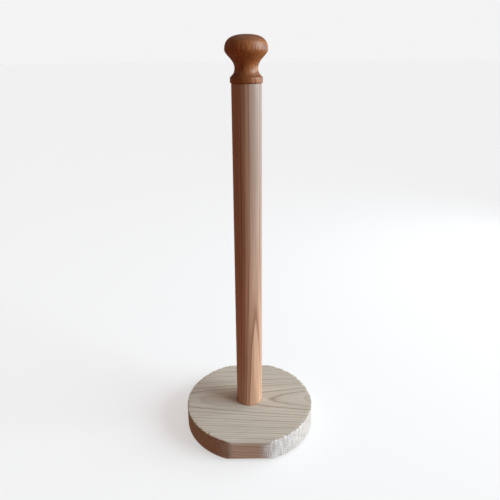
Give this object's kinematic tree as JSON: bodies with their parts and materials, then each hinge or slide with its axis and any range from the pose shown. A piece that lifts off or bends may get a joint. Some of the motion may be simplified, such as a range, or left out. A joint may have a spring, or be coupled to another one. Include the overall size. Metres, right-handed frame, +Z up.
{
  "type": "paper towel holder",
  "caption": "Free-standing kitchen roll holder: round wooden base with flats front and back, an upright dowel and a turned, stained screw-off knob with a collar.",
  "frame": {"origin": "middle of the object's box on the surface that it stands on, under the centre of the round base", "axes": "+Z up along the column; the base's two flats face -Y and +Y; the board's grain runs along X"},
  "size_m": [0.125, 0.12, 0.3661],
  "materials": {
    "pine_board": "raw planed flat-sawn pine, sawn end grain round the rim",
    "pine_dowel": "raw sanded straight-grained pine",
    "stained_wood": "honey-brown stain under satin varnish",
    "insert_brass": "plain machined brass",
    "zinced_steel": "bright zinc plate",
    "grey_felt": "pressed felt, self-adhesive"
  },
  "bodies": {
    "stand": {"base_disc": "pine_board", "column": "pine_dowel", "column_screw": "zinced_steel", "knob_hanger_bolt": "zinced_steel", "foot_pad_front_left": "grey_felt", "foot_pad_front_right": "grey_felt", "foot_pad_back_left": "grey_felt", "foot_pad_back_right": "grey_felt"},
    "insert": {"knob_insert": "insert_brass"},
    "knob": {"knob": "stained_wood"}
  },
  "joints": [
    {"name": "knob_lift", "type": "slide", "parent": "stand", "child": "insert", "axis": [0, 0, 1], "range_m": [0, 0.012]},
    {"name": "knob_turn", "type": "hinge", "parent": "insert", "child": "knob", "pos_m": [0, 0.0025, 0.3291], "axis": [0, 0, 1], "range_deg": [0, 4320]}
  ],
  "couplings": [
    {"joint": "knob_lift", "follows": "knob_turn", "m_per_rad": 0.00015915}
  ]
}
